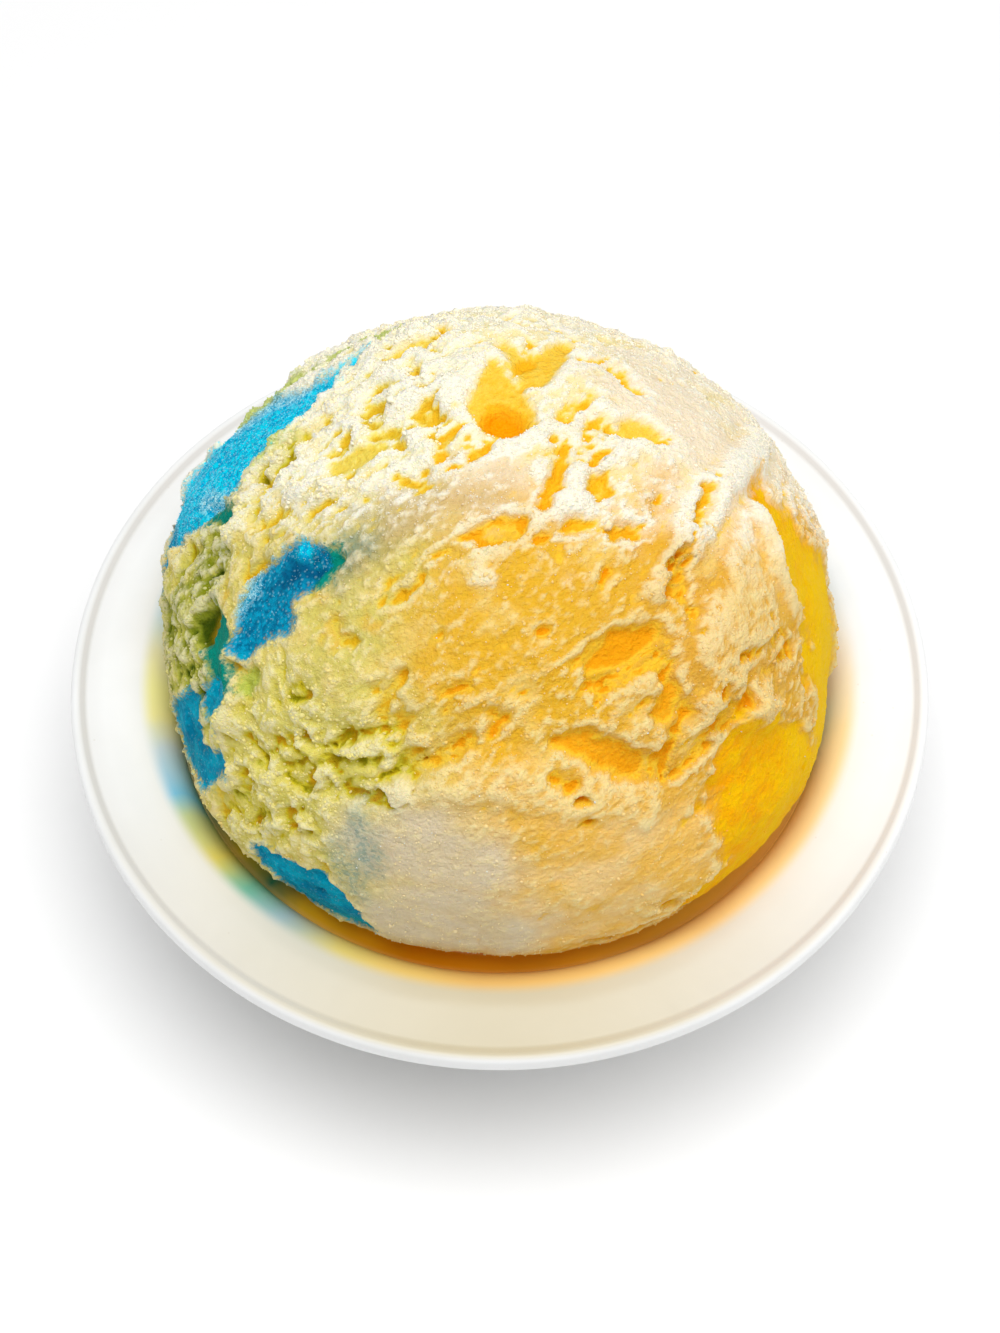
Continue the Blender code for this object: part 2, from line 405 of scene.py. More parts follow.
# Torn hollows, steep below and easing out above: depth in mm, then a stroke.
HOLLOWS = {
    "top_b": (1.2, (-6, 70, 1.6), (0, 68, 1.6)),
    "crown_a": (1.0, (1, 64, 1.4), (7, 62, 1.4)),
    "crown_b": (1.0, (21, 62, 1.2), (26, 58, 1.6)),
    "crown_c": (0.9, (-22, 55, 1.2), (-17, 53, 1.2)),
    "right_a": (1.6, (30, 50, 2.4), (33, 46, 1.6)),
    "right_e": (1.4, (17, 13, 1.9), (16, 9, 1.2)),
    "right_b": (1.6, (19, 38, 2.2), (25, 36, 2.4), (33, 34, 1.6)),
    "right_c": (1.4, (17, 36, 2.0), (17, 30, 1.6)),
    "right_d": (1.3, (11, 19, 1.6), (22, 18, 1.8)),
    "middle": (1.8, (12, 33, 2.0), (9, 26, 2.3), (7, 22, 1.6)),
    "cross": (1.5, (13, -7, 2.0), (19, -4, 2.4), (25, 0, 2.6), (27, -5, 1.8)),
    "cross_arm": (1.2, (21, 2, 1.2), (18, -1, 1.4)),
    "slash": (1.0, (-4, -4, 0.4), (3, 2, 1.0)),
    "lower": (1.6, (12, -14, 1.8), (17, -16, 2.2), (23, -19, 2.6), (29, -19, 3.0), (31, -11, 2.0)),
    "lower_end": (1.3, (20, -19, 2.0), (25, -20, 2.0)),
    "under_crust": (1.1, (-46, 19, 1.6), (-38, 22, 2.0)),
    "fold": (1.9, (38, 25, 1.0), (28, 12, 1.4)),
    "left_a": (1.2, (-18, 38, 2.0), (-12, 35, 1.4)),
    "left_b": (1.4, (-17, 27, 2.0), (-13, 26, 1.6)),
    "left_c": (1.2, (-26, 38, 2.2), (-20, 34, 1.6)),
    "left_d": (1.0, (-34, 34, 2.0), (-29, 30, 1.6)),
    "left_e": (0.9, (-34, 22, 1.4), (-29, 24, 1.2)),
    "left_f": (1.0, (-9, 32, 2.0), (-5, 34, 1.8)),
    "corner": (1.5, (-5, -14, 1.6), (-9, -17, 1.8), (-14, -20, 1.6)),
    "olive_a": (1.5, (-35, -15, 1.6), (-32, -17, 1.8), (-25, -14, 1.4), (-16, -12, 1.3)),
    "olive_b": (1.3, (-30, -24, 1.2), (-23, -21, 1.0), (-14, -20, 1.6)),
    "olive_d": (1.4, (-48, -15, 1.3), (-46, -20, 1.5)),
    "dot_a": (1.2, (15, -8, 1.5), (16, -8, 1.5)),
    "dot_b": (1.1, (3, -7, 1.3), (4, -7, 1.3)),
    "dot_c": (1.1, (-9, -7, 1.0), (-5, -6, 1.2)),
    "dot_d": (1.2, (41, -1, 1.2), (48, 1, 1.4)),
    "belly_a": (0.6, (10, -49, 1.2), (10.5, -48, 1.2)),
    "belly_b": (0.5, (21, -47, 1.0), (22, -46, 0.9)),
    "belly_c": (0.5, (36, -29, 1.0), (38, -28, 0.8)),
    "belly_d": (0.5, (4, -48, 0.9), (5, -48, 0.9)),
}

# Ridges and lumps: height in mm, then a stroke.
RIDGES = {
    "flap_top": (1.5, (66, 36, 2.0), (50, 30, 1.6), (40, 25, 1.8), (34, 20, 1.8), (29, 14, 1.6)),
    "flap_left": (1.2, (29, 14, 1.6), (25, 9, 1.4)),
    "low": (1.2, (36, -9, 1.4), (48, -7, 1.6)),
    "flap_right": (1.2, (48, 21, 1.4), (49, 13, 1.5), (52, 9, 1.5), (57, 7, 1.5)),
    "flap": (1.0, (46, 18, 4), (42, 6, 7), (38, 0, 5)),
    "lumps": (1.3, (44, -10, 1.8), (51, -11, 2.0)),
    "slab": (0.9, (-3, 12, 1.6), (3, 20, 1.8), (12, 23, 1.4)),
    "shelf": (1.0, (8, 28, 1.6), (26, 33, 1.6)),
    "under_hole": (1.2, (-6, 34, 1.8), (2, 33, 1.8), (8, 35, 1.6)),
    "crown": (0.7, (-28, 52, 5), (8, 66, 5)),
    "belly_top": (0.8, (-20, -24, 2.4), (-2, -21, 2.6), (10, -24, 2.4), (26, -26, 2.4)),
    "edge_a": (1.0, (-49, 37, 1.3), (-53, 29, 1.6), (-51, 19, 1.6)),
    "edge_b": (1.0, (-50, -1, 1.2), (-54, -9, 1.4), (-55, -14, 1.2)),
    "white": (0.9, (-22, 44, 2.4), (-12, 43, 2.4)),
    "brink": (1.3, (-48, -2, 1.2), (-51, -12, 1.4)),
    "crumb_ledge": (0.9, (-36, -19, 2.4), (-26, -18, 2.6), (-14, -16, 2.0)),
}

# Broad bumps that give the ball its uneven outline: right, above, half length
# and half width in degrees, turn in degrees, and height in mm.
BROAD = {
    "low_left": (-40, -22, 20, 13, 15, -0.6),
    "channel": (-59, -2, 6, 22, -12, -1.0),
    "belly": (5, -38, 28, 12, 0, 0.8),
    "right": (40, 8, 14, 14, 0, 0.6),
    "crown": (-12, 55, 26, 9, -12, 0.6),
    "shoulder": (-78, 29, 20, 13, 60, 1.9),
    "waist": (-2, -14, 26, 6, 8, -0.8),
    "low_right": (64, -29, 24, 12, 40, 1.5),
}


def cube_sphere(side):
    """Even directions and quads from a cube's faces, few of them far below."""
    steps = np.arange(side + 1)
    a, b = (grid.ravel() for grid in np.meshgrid(steps, steps, indexing="ij"))
    low = np.zeros_like(a)
    high = low + side
    faces = [(low, b, a), (high, a, b), (a, low, b), (b, high, a), (b, a, low), (a, b, high)]
    lattice = np.concatenate([np.stack(face, 1) for face in faces])
    code = (lattice[:, 0] * (side + 1) + lattice[:, 1]) * (side + 1) + lattice[:, 2]
    _, first, number = np.unique(code, return_index=True, return_inverse=True)
    corner = (steps[:-1, None] * (side + 1) + steps[None, :-1]).ravel()
    quad = np.stack([corner, corner + side + 1, corner + side + 2, corner + 1], 1)
    quads = np.concatenate([number.ravel()[quad + k * (side + 1) ** 2] for k in range(6)])
    dirs = np.tan((lattice[first] * 2.0 / side - 1) * pi / 4)
    dirs /= np.linalg.norm(dirs, axis=1, keepdims=True)
    fall = (1 - dirs[:, 2]) / 2
    rise = 1 - 2 * (0.70 * fall + 0.30 * fall ** 14)
    level = np.sqrt(np.maximum(1 - rise ** 2, 0))
    flat = np.maximum(np.hypot(dirs[:, 0], dirs[:, 1]), 1e-9)
    dirs = np.column_stack([dirs[:, 0] / flat * level, dirs[:, 1] / flat * level, rise])
    return dirs, quads


def plain_ball(dirs):
    """Where rays from the ball's centre meet it: round above, tapered below."""
    level = np.hypot(dirs[:, 0], dirs[:, 1]) / BALL_RADIUS
    up = np.maximum(dirs[:, 2], 0) / BALL_UP
    down = np.maximum(-dirs[:, 2], 0) / BALL_DOWN
    power = BALL_DOWN_POWER
    upper = (level ** 2 + up ** 2) ** -0.5
    lower = (level ** power + down ** power) ** (-1 / power)
    return dirs * np.where(dirs[:, 2] >= 0, upper, lower)[:, None]


def neighbours(quads):
    """Pairs of points that share an edge."""
    pairs = np.concatenate([quads[:, [k, (k + 1) % 4]] for k in range(4)])
    return np.unique(np.sort(pairs, axis=1), axis=0)


def softened(values, pairs, rounds):
    """Values averaged with their neighbours', over and over."""
    count = len(values)
    weight = np.bincount(pairs.ravel(), minlength=count) + 1.0
    for _ in range(rounds):
        columns = []
        for column in values.T:
            total = column + np.bincount(pairs[:, 0], column[pairs[:, 1]], count)
            total += np.bincount(pairs[:, 1], column[pairs[:, 0]], count)
            columns.append(total / weight)
        values = np.stack(columns, 1)
    return values


def zones(dirs):
    """How far inside each colour, in degrees, and the noise that frays the edges."""
    points = dirs * BALL_RADIUS
    drift = soft_noise(points, 9 * MM, 1, 3, 0.6) + 0.5 * soft_noise(points, 3.2 * MM, 2, 2, 0.6)
    fields = {}
    for name, strokes in COLOURS.items():
        reach = np.max([inside(dirs, chain) for chain in strokes], axis=0)
        fields[name] = reach + FRAY[name] * drift

    # The hidden side goes on in the same colours.
    swirl = soft_noise(points * [1.0, 1.6, 1.0], 26 * MM, 11, 2, 0.5)
    behind = smooth_step(0.15, -0.35, dirs @ FACE) > 0.3
    hidden = {"blue": 30 * (swirl - 0.34) + 4 * drift, "amber": 30 * (-swirl - 0.36) + 4 * drift,
              "green": 40 * (swirl - 0.22), "frost": 40 * (-swirl - 0.15)}
    for name, reach in hidden.items():
        fields[name] = np.maximum(fields[name], np.where(behind, reach, -9))

    for name, soft in SOFT_EDGE.items():
        fields[name] = smooth_step(-soft, soft, fields[name])
    calm = np.maximum(0.65 * fields["calm"], 0.9 * np.maximum(fields["frost"], fields["peach"]))
    for name in ("amber", "blue", "teal"):
        calm = np.maximum(calm, smooth_step(-1, 1, fields[name]))
    fields["calm"] = calm
    return fields, drift


def drawn_out(dirs, stretch):
    """Places on the ball whose noise is drawn out the way the scoop went."""
    ahead = dirs @ FACE_RIGHT * cos(LEDGE_TURN) + dirs @ FACE_UP * sin(LEDGE_TURN)
    across = dirs @ FACE_UP * cos(LEDGE_TURN) - dirs @ FACE_RIGHT * sin(LEDGE_TURN)
    return np.column_stack([ahead / stretch, across, dirs @ FACE]) * BALL_RADIUS


def broad_height(dirs, plain):
    """Height in mm of the slow swells and the broad bumps."""
    height = 0.8 * soft_noise(plain, 16 * MM, 21) + 0.45 * soft_noise(plain, 7 * MM, 22)
    for right, above, wide, tall, turn, bump in BROAD.values():
        height += bump * smooth_step(1.5, 0.3, patch(dirs, right, above, wide, tall, turn))
    return height


def torn_cuts(dirs, plain, fields, drift, ragged, crust):
    """How cut away the hollows torn along the ledges are, and their depth in mm."""
    calm = fields["calm"]
    crumbly = fields["green"] * (1 - calm)
    drawn = drawn_out(dirs, STREAK)
    ledge = soft_noise(drawn, LEDGE_PITCH, 31, 3, 0.55)
    step = np.array([0.0, 0.45 * MM, 0.0])
    uphill = soft_noise(drawn + step, LEDGE_PITCH, 31, 1) - soft_noise(drawn, LEDGE_PITCH, 31, 1)
    limit = 0.18 + 0.18 * soft_noise(plain, 11 * MM, 33) + 0.50 * calm - 0.06 * crumbly + 0.04 * crust
    limit += 0.40 * np.maximum(fields["frost"], fields["peach"])
    level = ledge + ragged - limit
    depth = 0.95 + 0.45 * crust
    for deep, *chain in HOLLOWS.values():
        own = 0.13 * inside(dirs, chain) + 0.08 * drift + ragged
        middle = direction(*np.mean(chain, axis=0)[:2])
        uphill = np.where(own > level, -0.5 * (dirs - middle) @ FACE_UP, uphill)
        depth = np.where(own > level, deep, depth)
        level = np.maximum(level, own)
    steep = smooth_step(-0.03, 0.03, uphill)
    cut = smooth_step(-0.05, 0.27, level) * steep + smooth_step(-0.16, 0.46, level) * (1 - steep)
    return cut * (1 + 0.3 * soft_noise(plain, 2.4 * MM, 34, 2)), depth


def pressed_hollows(dirs, drift, ragged):
    """Depth in mm of the smooth hollows, and how smooth the ice is there."""
    pressed = np.zeros(len(dirs))
    smooth = np.zeros(len(dirs))
    for deep, *chain in PRESSED.values():
        own = smooth_step(-0.9, 1.3, inside(dirs, chain) + 0.4 * drift + 4 * ragged)
        pressed += deep * own
        smooth = np.maximum(smooth, own)
    return pressed, smooth


def torn_height(dirs, plain, fields, drift):
    """Height in mm of the torn surface, and how torn, raised and pressed it is."""
    calm = fields["calm"]
    crumbly = fields["green"] * (1 - calm)
    crust = smooth_step(0.05, -0.35, dirs @ FACE_RIGHT) * smooth_step(0.1, 0.4, dirs @ FACE_UP)
    drawn = drawn_out(dirs, STREAK)
    ragged = 0.15 * soft_noise(drawn, 1.6 * MM, 32, 3, 0.65)

    broad = broad_height(dirs, plain)
    cut, depth = torn_cuts(dirs, plain, fields, drift, ragged, crust)
    height = broad - depth * cut
    raised = np.zeros(len(dirs))
    for rise, *chain in RIDGES.values():
        near = smooth_step(-2.5, 1.5, inside(dirs, chain) + 1.2 * drift)
        height += rise * near * (1 - 0.7 * cut)
        raised = np.maximum(raised, near * (rise - 0.6))

    # Clumps like those of a crumbled cake, and streaks drawn out by the scoop.
    puffs = np.abs(soft_noise(drawn_out(dirs, 1.3), 4.2 * MM, 41, 4, 0.5))
    height += (0.20 + 1.10 * crumbly + 0.5 * crust) * (1 - 0.75 * calm) * (puffs - 0.35)
    rough = (1.1 + 1.3 * crust) * (1 - 0.72 * calm) * (1 - 0.5 * np.clip(cut, 0, 1))
    height += 0.34 * rough * soft_noise(drawn, 1.7 * MM, 42, 3, 0.65)
    height += 0.14 * (0.6 + 0.4 * rough) * soft_noise(plain, 0.9 * MM, 43, 2, 0.7)

    pressed, smooth = pressed_hollows(dirs, drift, ragged)
    height += 0.85 * smooth * (broad - height) - pressed
    for name, deep in SYRUP_SUNK.items():
        height -= deep * smooth_step(-0.6, 0.8, fields[name])
    return height, depth * cut * (1 - smooth), raised * (1 - smooth), pressed


def shape_ball(dirs, quads, fields, drift):
    """Push the plain ball out to its torn surface. Returns points and looks."""
    plain = plain_ball(dirs)
    height, depth, raised, pressed = torn_height(dirs, plain, fields, drift)
    share = smooth_step(*RELIEF_FADE, plain[:, 2] + BALL_LEVEL)
    points = plain + dirs * (height * MM * share)[:, None]

    # How far a point lies below its wide and its near surroundings, in mm.
    normals = point_normals(points, quads)
    pairs = neighbours(quads)
    rounds = 16
    sunk = np.einsum("ij,ij->i", softened(points, pairs, rounds) - points, normals) / MM
    near = np.einsum("ij,ij->i", softened(points, pairs, rounds // 4) - points, normals) / MM
    looks = dict(fields)
    # The hollow field sets the painted shade in the hollows.
    hollow = 0.36 * depth + 0.7 * sunk + 1.2 * near
    looks["hollow"] = np.clip(np.maximum(hollow, 0.6 * pressed), 0, 1)
    # Crest marks the ridges that get the painted highlight.
    crest = np.clip(raised - 1.6 * sunk - 2.4 * near, 0, 1)
    looks["crest"] = crest * smooth_step(0.6, 0.1, depth + pressed)
    looks["pit"] = smooth_step(-0.6, 0.8, inside(dirs, PRESSED["hole"][1:]))
    # Paler the more a point faces up: partly frost settled on top, partly painted light from above.
    looks["top_frost_and_light"] = smooth_step(-0.05, 0.75, dirs @ FACE_UP + 0.15 * drift)
    looks["side"] = dirs @ FACE_RIGHT + 0.12 * drift
    return points, looks


def make_ball():
    """The torn ball of ice, flat on the bowl's floor."""
    dirs, quads = cube_sphere(128)
    fields, drift = zones(dirs)
    points, looks = shape_ball(dirs, quads, fields, drift)
    level = np.maximum(points[:, 2] + BALL_LEVEL, ICE_FOOT)
    over = np.maximum(level - PEAK_START, 0)
    points[:, 2] = level - over + PEAK_EASE * np.tanh(over / PEAK_EASE)
    mesh = mesh_from("ice_ball", points, quads)
    set_fields(mesh, looks)
    ball = link("ice_ball", mesh)
    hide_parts("ice")
    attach(ball, "root")
    return ball, points, quads, looks


# --------------------------------------------------------------- loose grains

# Kinds of grain: solid, how many, sizes in mm, share sunk into the ice, and
# whether it's shaded smooth.
GRAINS = {
    "frost_grains": ("crystal", 24500, (0.16, 0.42), 0.35, False),
    "ice_crumbs": ("crumb", 1500, (0.5, 1.3), 0.78, True),
    "ice_bits": ("bit", 9500, (0.3, 0.8), 0.60, False),
    "blue_crystals": ("crystal", 9000, (0.14, 0.36), 0.35, False),
    "clear_crystals": ("crystal", 90, (0.25, 0.5), 0.45, False),
}


def solid(name):
    """Points and triangles of a unit octahedron, or of a rounder solid."""
    made = bmesh.new()
    if name == "crystal":
        bmesh.ops.create_cone(made, cap_ends=False, segments=4, radius1=1, radius2=0, depth=1)
        bmesh.ops.translate(made, verts=made.verts, vec=(0, 0, 0.5))
        bmesh.ops.mirror(made, geom=made.verts[:] + made.edges[:] + made.faces[:],
                         axis="Z", merge_dist=0.01)
        bmesh.ops.recalc_face_normals(made, faces=made.faces)
    else:
        bmesh.ops.create_icosphere(made, subdivisions=int(name == "crumb") + 1, radius=1)
    bmesh.ops.triangulate(made, faces=made.faces)
    made.verts.ensure_lookup_table()
    verts = np.array([v.co for v in made.verts])
    faces = np.array([[v.index for v in face.verts] for face in made.faces])
    made.free()
    return verts, faces


def rotations(count, rng):
    """Random rotation matrices."""
    q = rng.normal(size=(count, 4))
    w, x, y, z = (q / np.linalg.norm(q, axis=1, keepdims=True)).T
    rows = [[1 - 2 * (y * y + z * z), 2 * (x * y - z * w), 2 * (x * z + y * w)],
            [2 * (x * y + z * w), 1 - 2 * (x * x + z * z), 2 * (y * z - x * w)],
            [2 * (x * z - y * w), 2 * (y * z + x * w), 1 - 2 * (x * x + y * y)]]
    return np.moveaxis(np.array(rows), 2, 0)


def scatter(name, chance, skin, rng):
    """Strew grains over the ball's skin above the brim, more where chance is high."""
    points, quads, looks = skin
    shape, count, sizes, sink, smooth = GRAINS[name]
    count = int(count * (1.0))
    corners = points[quads]
    across = np.cross(corners[:, 2] - corners[:, 0], corners[:, 3] - corners[:, 1])
    area = np.linalg.norm(across, axis=1)
    weight = area * chance[quads[:, 0]] * (corners[:, :, 2].min(axis=1) > BRIM_TOP)
    found = rng.choice(len(quads), count, p=weight / weight.sum())
    u, v = rng.random((2, count, 1))
    one, two, three, four = (corners[found, k] for k in range(4))
    middle = (one * (1 - u) + two * u) * (1 - v) + (four * (1 - u) + three * u) * v
    outward = across[found] / area[found, None]
    size = (sizes[0] + (sizes[1] - sizes[0]) * rng.random(count) ** 2) * MM
    verts, faces = solid(shape)
    grain = verts[None] * rng.uniform(0.5, 1.0, (count, 1, 3))
    grain *= rng.uniform(0.6, 1.25, (count, len(verts), 1))
    grain = np.einsum("nij,nkj->nki", rotations(count, rng), grain) * (size / 2)[:, None, None]
    grain += (middle + outward * (size * (0.5 - sink))[:, None])[:, None]
    grain[:, :, 2] -= np.maximum(grain[:, :, 2].max(axis=1, keepdims=True) - ICE_TOP, 0)
    all_faces = (faces[None] + len(verts) * np.arange(count)[:, None, None]).reshape(-1, 3)
    mesh = mesh_from(name, grain.reshape(-1, 3), all_faces, smooth)
    spot = np.repeat(quads[found, 0], len(verts))
    set_fields(mesh, {kind: values[spot] for kind, values in looks.items()})
    made = link(name, mesh)
    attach(made, "root")
    return made


def make_grains(skin):
    """Frost, crumbs, bits, blue crystals and clear crystals that lie on the ball."""
    looks = skin[2]
    crest, top_frost_and_light, calm = looks["crest"], looks["top_frost_and_light"], looks["calm"]
    blue = smooth_step(-0.5, 1.0, np.maximum(looks["blue"], looks["teal"]))
    amber = smooth_step(-1.0, 1.0, looks["amber"])
    dry = (1 - smooth_step(0.15, 0.5, looks["hollow"])) * (1 - looks["pit"])
    frost = (0.12 + crest + 0.4 * looks["frost"]) * dry * (1 - blue) * (1 - amber)
    frost = frost * (0.3 + top_frost_and_light) * (1 - 0.8 * looks["green"]) * (1 - 0.6 * calm)
    crust = smooth_step(0.1, -0.25, looks["side"]) * smooth_step(0.3, 0.6, top_frost_and_light)
    crumbs = (0.05 + 0.6 * crest + 0.6 * looks["green"] + 0.8 * crust) * (1 - calm) * dry
    crumbs = crumbs * (1 - blue) + 0.01 * dry
    bright = 0.02 + 0.3 * smooth_step(0.2, 0.4, top_frost_and_light) + smooth_step(-2.0, 1.0, looks["rime"])
    chances = {
        "frost_grains": frost + 0.004,
        "ice_crumbs": crumbs,
        "ice_bits": crumbs + 0.1 * frost,
        "blue_crystals": smooth_step(-1.5, 0.5, looks["blue"]) * bright + 1e-4,
        "clear_crystals": dry * (0.1 + looks["frost"]) * (1 - looks["peach"]),
    }
    rng = np.random.default_rng(SEED)
    return {name: scatter(name, chance, skin, rng) for name, chance in chances.items()}


# -------------------------------------------------------------- the ice's looks

def raised_colour(n, cloud, mid, crest):
    """Cream and golden ice, greener at the left and paler above and on crests: partly frost, partly
    painted highlight.
    """
    green, top_frost_and_light, side = n.field("green"), n.field("top_frost_and_light"), n.field("side")
    body = n.mix(n.spread(side, -0.45, 0.0), (222, 208, 110), (234, 182, 46))
    body = n.mix(n.spread(side, 0.1, 0.6), body, (228, 172, 60))
    body = n.mix(n.spread(cloud, 0.50, 0.68, 0.0, 0.55), body, (248, 220, 136))
    body = n.mix(n.spread(cloud, 0.48, 0.34, 0.0, 0.6), body, (238, 186, 56))
    # Painted light from above, with frost: the top goes pale cream.
    top = n.mix(n.spread(side, -0.1, 0.4), (252, 246, 218), (252, 236, 206))
    top = n.mix(n.spread(cloud, 0.46, 0.62, 0.0, 0.62), top, (249, 226, 142))
    body = n.mix(n.spread(top_frost_and_light, 0.25, 0.85), body, top)
    body = n.mix(n.times(green, 0.85), body, (230, 217, 110))
    leafy = n.mix(n.spread(mid, 0.35, 0.65), (136, 144, 20), (200, 196, 84))
    body = n.mix(n.field("flank"), body, leafy)
    warm = n.mix(n.spread(cloud, 0.40, 0.65), (244, 192, 88), (246, 208, 138))
    # Painted light: the peach is paler higher up.
    warm = n.mix(n.spread(top_frost_and_light, 0.25, 0.7), warm, (252, 232, 200))
    body = n.mix(n.field("peach"), body, warm)
    slope = n.mix(n.spread(side, -0.38, -0.12), (160, 148, 104), (212, 178, 116))
    icy = n.mix(n.spread(top_frost_and_light, 0.0, 0.25), (226, 210, 178), slope)
    icy = n.mix(n.spread(cloud, 0.45, 0.70, 0.0, 0.5), icy, (222, 196, 140))
    body = n.mix(n.times(n.field("frost"), 0.95), body, icy)
    # Painted highlight with frost: crests go cream to white.
    cream = n.mix(n.spread(top_frost_and_light, 0.05, 0.6), (251, 233, 174), (255, 250, 232))
    cream = n.mix(n.times(green, 0.7), cream, (250, 244, 208))
    frosted_highlight = n.mix(n.spread(top_frost_and_light, 0.1, 0.8, 0.62, 0.85), body, cream)
    return n.mix(crest, body, frosted_highlight)


def by_place(n, low_left, low_right, high_left, high_right):
    """A colour that changes over the ball, from four."""
    low = n.mix(n.spread(n.field("side"), -0.5, 0.1), low_left, low_right)
    high = n.mix(n.spread(n.field("side"), -0.35, 0.0), high_left, high_right)
    return n.mix(n.spread(n.field("top_frost_and_light"), 0.2, 0.7), low, high)


def hollow_shade_colour(n, body, cloud, mid, hollow):
    """Painted shade in the hollows: yellow, then amber and darker where deeper, olive at the left,
    the hole orange, standing for shade and light glowing through the ice.
    """
    green, flank = n.field("green"), n.field("flank")
    sunk = by_place(n, (236, 212, 84), (252, 202, 52), (242, 220, 100), (252, 214, 84))
    leafy = n.mix(n.spread(mid, 0.35, 0.65), (228, 208, 40), (204, 196, 60))
    sunk = n.mix(n.spread(green, 0.1, 0.7), sunk, leafy)
    sunk = n.mix(flank, sunk, (130, 140, 30))
    deep = by_place(n, (232, 188, 34), (244, 166, 12), (228, 188, 40), (250, 188, 30))
    olive = n.mix(n.spread(cloud, 0.40, 0.60), (158, 150, 12), (216, 164, 20))
    deep = n.mix(n.spread(green, 0.2, 0.8), deep, olive)
    deep = n.mix(flank, deep, (62, 82, 6))
    body = n.mix(n.spread(hollow, 0.0, 0.60), body, sunk)
    body = n.mix(n.spread(hollow, 0.45, 1.0), body, deep)
    return n.mix(n.field("pit"), body, (255, 162, 0))


def share_of(n, name, fray, low, high, most=1.0):
    """Share of a colour, from its strokes with their edges frayed by noise."""
    return n.spread(n.plus(n.field(name), fray), low, high, 0.0, most)


def blue_colour(n, fine, mid, edge, frosty):
    """Blue syrup: brightest above, with navy cores, bright rims and frost."""
    top_frost_and_light = n.field("top_frost_and_light")
    rich = n.mix(n.spread(fine, 0.35, 0.65), (0, 114, 156), (2, 162, 202))
    rich = n.mix(share_of(n, "navy", n.swing(mid, 5), -2.5, 2.0, 0.85), rich, (0, 80, 122))
    low = n.mix(n.spread(mid, 0.35, 0.65), (0, 144, 176), (0, 202, 226))
    rich = n.mix(n.spread(top_frost_and_light, 0.05, -0.05), rich, low)
    band = n.mix(n.spread(fine, 0.38, 0.60), (0, 168, 216), (8, 226, 252))
    rich = n.mix(n.spread(top_frost_and_light, 0.25, 0.5), rich, band)
    rime = n.mix(n.spread(fine, 0.45, 0.62), (6, 176, 214), (190, 240, 248))
    rich = n.mix(share_of(n, "rime", edge, -1.5, 1.5), rich, rime)
    return n.mix(n.times(frosty, n.spread(top_frost_and_light, -0.10, 0.12)), rich, (190, 240, 246))


def ice_colour(n, fine, mid, hollow, crest, frosty):
    """Cream ice, painted shade in its hollows, and the colours poured over it."""
    cloud = n.noise(6 * MM, 3, 0.6)
    edge = n.swing(fine, 4.0)
    body = raised_colour(n, cloud, mid, crest)
    body = hollow_shade_colour(n, body, cloud, mid, hollow)
    mist = n.times(share_of(n, "mist", n.swing(mid, 8), -4.0, 4.0),
                   n.spread(fine, 0.42, 0.60, 0.3, 0.65))
    body = n.mix(mist, body, (108, 154, 146))
    body = n.mix(share_of(n, "lime", edge, -0.8, 1.2, 0.8), body, (188, 204, 88))
    golden = n.mix(n.spread(mid, 0.30, 0.70), (254, 170, 0), (255, 196, 0))
    # Painted light: the amber goes brighter and yellower at the far right side.
    golden = n.mix(n.spread(n.field("side"), 0.70, 0.95), golden, (255, 200, 0))
    body = n.mix(share_of(n, "amber", n.plus(edge, n.swing(mid, 6)), -1.5, 2.2), body, golden)
    teal = n.mix(mid, (0, 120, 104), (4, 160, 140))
    body = n.mix(share_of(n, "teal", edge, -0.8, 1.0), body, teal)
    blue = blue_colour(n, fine, mid, edge, frosty)
    return n.mix(share_of(n, "blue", edge, -0.8, 1.0), body, blue)


def ice_material():
    """Torn coloured ice."""
    n = Nodes("ice")
    n.draw_out(1.3)
    fine = n.noise(0.6 * MM, 3, 0.65)
    mid = n.noise(2.2 * MM, 3, 0.6)
    swell = n.noise(0.9 * MM, 4, 0.65)
    # The swell noise both bumps the ice and colours it: deeper yellow in its dips and paler on its
    # tops, painted shade and highlight at a fine scale.
    hollow = n.spread(n.plus(n.field("hollow"), n.swing(swell, -0.6)), 0.02, 1.0)
    crest = n.spread(n.plus(n.field("crest"), n.swing(swell, 1.1)), 0.0, 0.8)
    flakes = n.cells(0.5 * MM)
    frosty = n.spread(flakes, 0.34, 0.16, 0.0, 0.20)
    grain = n.plus(n.noise(0.30 * MM, 2, 0.7), n.times(flakes, -0.6))
    grain = n.plus(grain, n.swing(swell, 1.6))
    syrup = n.math("MAXIMUM", n.field("blue"), n.field("teal"))
    return n.finish(
        Base_Color=ice_colour(n, fine, mid, hollow, crest, frosty),
        Roughness=n.spread(hollow, 0.0, 1.0, 0.62, 0.42),
        Normal=n.bump(grain, 0.28 * MM, 0.9),
        Subsurface_Weight=n.spread(syrup, -1.5, 0.5, 0.35, 0.05),
        Subsurface_Radius=(1.0, 0.75, 0.4),
        Subsurface_Scale=1.4 * MM,
        Specular_IOR_Level=0.05,
    )


def loose_material(name, crest, frosty, roughness, gloss):
    """Grains that lie on the ice: its own colour, paler by crest or frosty."""
    n = Nodes(name)
    mid = n.noise(2.2 * MM, 3, 0.6)
    fine = n.noise(0.6 * MM, 2, 0.6)
    # Grains take the painted shade of the hollows they lie in.
    hollow = n.spread(n.field("hollow"), 0.15, 1.1)
    crest = n.spread(fine, 0.2, 0.8, crest - 0.3, crest)
    return n.finish(
        Base_Color=ice_colour(n, fine, mid, hollow, crest, frosty),
        Roughness=n.spread(fine, 0.3, 0.7, *roughness),
        Specular_IOR_Level=gloss,
    )


